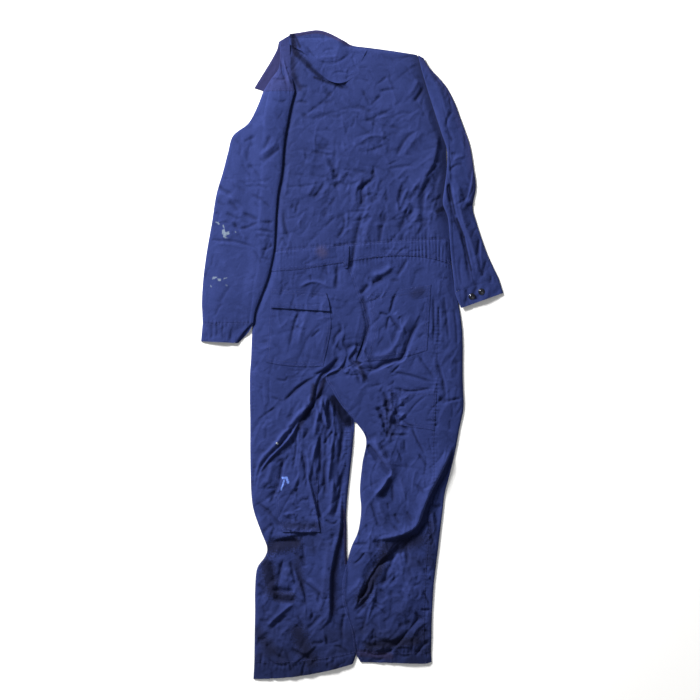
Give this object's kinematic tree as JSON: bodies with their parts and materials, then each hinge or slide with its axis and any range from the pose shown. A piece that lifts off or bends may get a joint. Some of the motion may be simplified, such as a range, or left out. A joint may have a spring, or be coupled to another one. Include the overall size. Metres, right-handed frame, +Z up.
{
  "type": "boiler suit",
  "caption": "Blue work boiler suit laid flat face down, with folded collar, long sleeves, back pockets, flap, belt loop and studded cuff.",
  "frame": {"origin": "middle of the laid-out garment's outline, on the surface it lies on", "axes": "+X to the wearer's right, +Y towards the collar, +Z up, so the back of the suit faces +Z"},
  "size_m": [0.755, 1.6186, 0.0188],
  "materials": {
    "cloth": "matt washed twill, creased",
    "stud": "bright"
  },
  "bodies": {
    "root": {"back_bodice": "cloth", "front_bodice_left": "cloth", "front_bodice_right": "cloth", "front_placket": "cloth", "waistband_back": "cloth", "waistband_front_left": "cloth", "waistband_front_right": "cloth", "leg_back_left": "cloth", "leg_back_right": "cloth", "leg_front_left": "cloth", "leg_front_right": "cloth", "sleeve_left": "cloth", "sleeve_right": "cloth", "cuff_left": "cloth", "cuff_right": "cloth", "shoulder_left": "cloth", "collar_fall": "cloth", "collar_point_left": "cloth", "back_pocket_left": "cloth", "pocket_flap_left": "cloth", "back_pocket_right": "cloth", "rule_pocket_right": "cloth", "leg_pocket_left": "cloth", "belt_loop": "cloth", "cuff_stud_1": "stud", "cuff_stud_2": "stud"}
  },
  "joints": []
}
